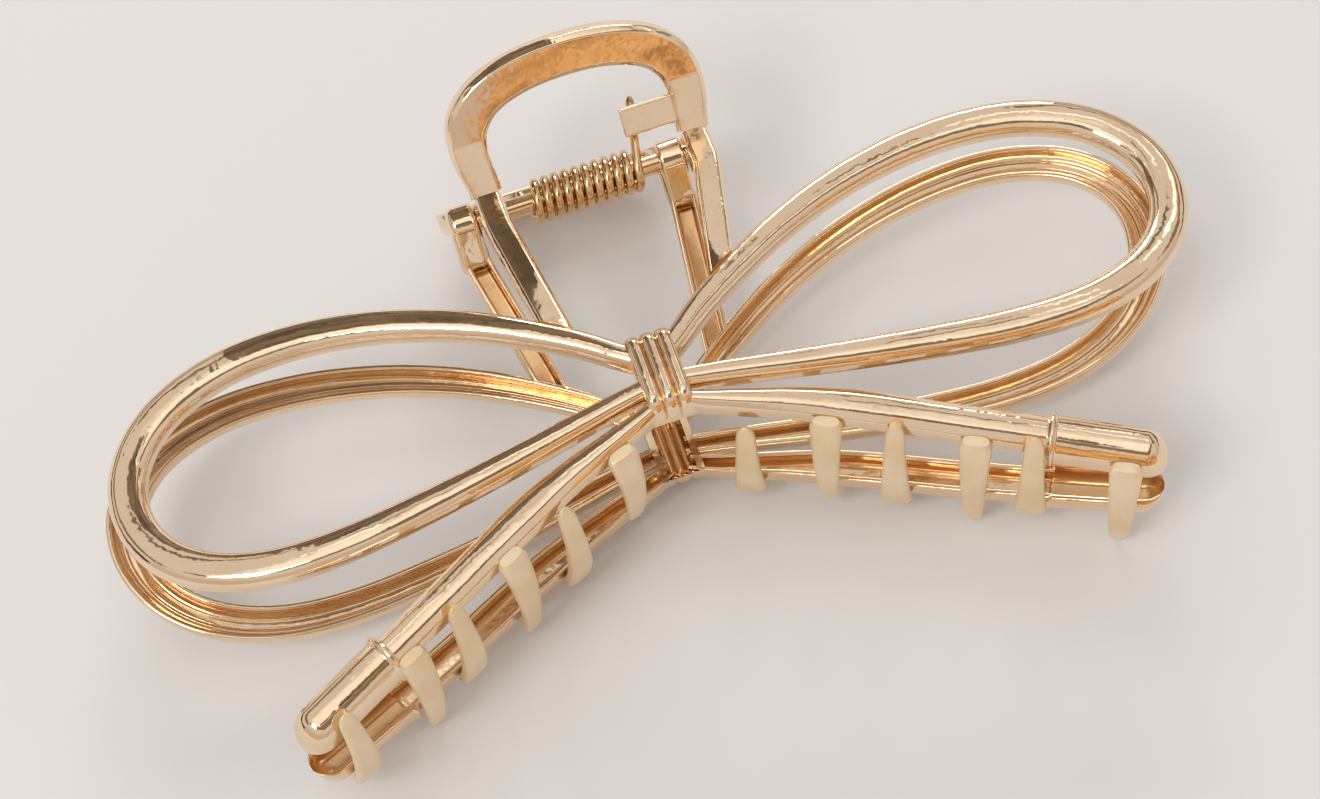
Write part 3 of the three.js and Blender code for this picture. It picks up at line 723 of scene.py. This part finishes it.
CAMERA_AZIMUTH, CAMERA_ELEVATION, CAMERA_ROLL = map(math.radians, (-10, 62, -9.25))
CAMERA_STAND = (-24.66, -137.45, 265.47)  # in the front casting's frame
SENSOR_WIDTH, LENS = 36, 83.62
back = Vector((
    math.sin(CAMERA_AZIMUTH) * math.cos(CAMERA_ELEVATION),
    -math.cos(CAMERA_AZIMUTH) * math.cos(CAMERA_ELEVATION),
    math.sin(CAMERA_ELEVATION),
))
level = Vector((math.cos(CAMERA_AZIMUTH), math.sin(CAMERA_AZIMUTH), 0))
upright = back.cross(level)
right = level * math.cos(CAMERA_ROLL) + upright * math.sin(CAMERA_ROLL)
up = upright * math.cos(CAMERA_ROLL) - level * math.sin(CAMERA_ROLL)
tilt = Matrix.Rotation(REST_TILT, 3, "X")
data = bpy.data.cameras.new("camera")
data.sensor_width, data.lens = SENSOR_WIDTH, LENS
data.clip_start, data.clip_end = 0.01, 20
camera = bpy.data.objects.new("camera", data)
bpy.context.scene.collection.objects.link(camera)
place = Matrix.Identity(4)
for column, axis in enumerate((right, up, back)):
    turned = tilt @ axis
    for row in range(3):
        place[row][column] = turned[row]
stand = to_row([CAMERA_STAND], "front")[0]
for row in range(3):
    place[row][3] = stand[row]
camera.matrix_world = place
bpy.context.scene.camera = camera

softbox("window", 165, 24, 1.0, (0.60, 0.26), 3.2, (1.0, 0.985, 0.96))
softbox("fill", -55, 52, 1.1, (0.40, 0.40), 3.0, (1.0, 0.97, 0.94))


def card(name, centre, size, facing, colour, streak, turn=0):
    """A studio card of two cloudy colours that only reflections see.

    Centre and size are in metres, turn in degrees.
    """
    data = bpy.data.meshes.new(name)
    w, h = size[0] / 2, size[1] / 2
    data.from_pydata([(-w, -h, 0), (w, -h, 0), (w, h, 0), (-w, h, 0)], [], [(0, 1, 2, 3)])
    obj = bpy.data.objects.new(name, data)
    bpy.context.scene.collection.objects.link(obj)
    obj.location = centre
    obj.rotation_mode = "QUATERNION"
    spin = Matrix.Rotation(math.radians(turn), 3, "Z").to_quaternion()
    obj.rotation_quaternion = Vector(facing).to_track_quat("Z", "Y") @ spin
    obj.visible_camera = obj.visible_diffuse = obj.visible_shadow = obj.visible_transmission = False
    m = bpy.data.materials.new(name)
    m.use_nodes = True
    tree = m.node_tree
    tree.nodes.clear()
    glow = node(tree, "ShaderNodeEmission")
    where = node(tree, "ShaderNodeTexCoord").outputs["Object"]
    amount = ramp(tree, noise(tree, where, 60, 4), 0.0, 1.0, (0.4, 0.6))
    link(tree, mixed(tree, amount, (*colour, 1), (*streak, 1)), glow.inputs["Color"])
    link(tree, glow.outputs["Emission"], node(tree, "ShaderNodeOutputMaterial").inputs["Surface"])
    data.materials.append(m)


def card_over(name, x, y, size, colours, turn, height):
    """A card where the camera sees it reflected in the front casting's face at (x, y)."""
    step, distance = 0.05, 0.1
    p = np.array([[x, y], [x + step, y], [x, y + step]])
    z = height(p)
    normal = Vector((-(z[1] - z[0]) / step, -(z[2] - z[0]) / step, 1)).normalized()
    normal = tilt @ normal
    point = Vector(to_row([(x, y, z[0])], "front")[0])
    ray = (point - Vector(stand)).normalized()
    away = ray.reflect(normal)
    card(name, point + away * distance, size, -away, *colours, turn=turn)


DIM = ((0.30, 0.24, 0.19), (0.09, 0.065, 0.045))
BRIGHT = ((2.0, 1.95, 1.85), (1.3, 1.22, 1.12))
WARM = ((0.86, 0.52, 0.24), (0.42, 0.22, 0.09))
SHADE = ((0.24, 0.19, 0.145), (0.11, 0.085, 0.06))
card("warm_card", (0.052, -0.080, 0.024), (0.106, 0.052), (0, 1, 0), *WARM)
card("arm_card", (-0.024, 0.052, 0.056), (0.054, 0.085), (0, -0.73, -0.68), *SHADE)
card("camera_card", (0.012, -0.125, 0.262), (0.085, 0.060), (0, 0.45, -0.89), *DIM)

# name, the place mirrored (x, y in millimetres), size in metres, colours, turn, and which face mirrors it
CARDS = [
    ("dim_1", -43, 12.5, (0.026, 0.008), DIM, 35, bow_height),
    ("dim_2", -27, -5.8, (0.026, 0.0042), DIM, 22, bow_height),
    ("dim_3", -13, -3.4, (0.020, 0.0042), DIM, 30, bow_height),
    ("dim_4", 47, 14.0, (0.024, 0.007), DIM, -30, bow_height),
    ("dim_5", 28, -5.2, (0.022, 0.0042), DIM, 12, bow_height),
    ("dim_6", 23, -13.0, (0.030, 0.005), DIM, -22, tail_height),
    ("dim_7", -24, 15.3, (0.034, 0.0022), DIM, 8, bow_height),
    ("dim_8", 11, 9.4, (0.026, 0.0030), DIM, 42, bow_height),
    ("dim_9", -22, -12.2, (0.026, 0.0034), DIM, 38, tail_height),
    ("bright_1", -7, -1.9, (0.018, 0.0080), BRIGHT, 22, bow_height),
    ("bright_2", -9, -6.0, (0.022, 0.0060), BRIGHT, 32, tail_height),
    ("bright_3", 52.5, 3.5, (0.010, 0.022), BRIGHT, -10, bow_height),
    ("bright_4", 39, -6.2, (0.024, 0.0036), BRIGHT, 10, bow_height),
    ("bright_5", 36, -19.6, (0.020, 0.0040), BRIGHT, -24, tail_height),
    ("bright_6", -30, -17.0, (0.020, 0.0036), BRIGHT, 34, tail_height),
    ("bright_7", 44, -20.5, (0.012, 0.0050), BRIGHT, -24, tail_height),
    ("bright_8", -45, 12.5, (0.012, 0.0030), BRIGHT, 40, bow_height),
]
for row in CARDS:
    card_over(*row)

# The light all round: bands by height above the horizon, different before and behind the object.
world = bpy.data.worlds.new("studio")
bpy.context.scene.world = world
world.use_nodes = True
tree = world.node_tree
sky = tree.nodes["Background"]
toward = node(tree, "ShaderNodeTexCoord").outputs["Generated"]
axes = node(tree, "ShaderNodeSeparateXYZ")
link(tree, toward, axes.inputs["Vector"])
wander = ramp(tree, noise(tree, toward, 1.7, 2), -0.07, 0.07, (0.3, 0.7))
height = node(tree, "ShaderNodeMath", operation="ADD")
link(tree, axes.outputs["Z"], height.inputs[0])
link(tree, wander, height.inputs[1])


def bands(stops):
    """Colours by height above the horizon, from (height, colour) stops."""
    n = node(tree, "ShaderNodeValToRGB")
    n.color_ramp.interpolation = "LINEAR"
    elements = n.color_ramp.elements
    while len(elements) > 1:
        elements.remove(elements[-1])
    elements[0].position, elements[0].color = stops[0][0], (*stops[0][1], 1)
    for at, colour in stops[1:]:
        elements.new(at).color = (*colour, 1)
    link(tree, height.outputs["Value"], n.inputs["Fac"])
    return n.outputs["Color"]


WHITE, PALE, PINK = (1.30, 1.25, 1.19), (0.84, 0.78, 0.74), (0.72, 0.61, 0.54)
BROWN, DARK = (0.30, 0.225, 0.165), (0.13, 0.09, 0.06)
behind = bands([
    (0.0, DARK), (0.15, DARK), (0.17, PALE), (0.40, PALE), (0.42, BROWN), (0.56, BROWN), (0.60, PALE),
    (0.91, PALE), (0.96, WHITE),
])
before = bands([
    (0.0, PINK), (0.30, PINK), (0.45, PALE), (0.67, PALE), (0.70, BROWN), (0.82, BROWN), (0.85, WHITE),
])
facing = ramp(tree, axes.outputs["Y"], 0.0, 1.0, (-0.03, 0.03))
link(tree, mixed(tree, facing, before, behind), sky.inputs["Color"])
sky.inputs["Strength"].default_value = 0.85

bpy.context.scene.view_settings.view_transform = "Standard"
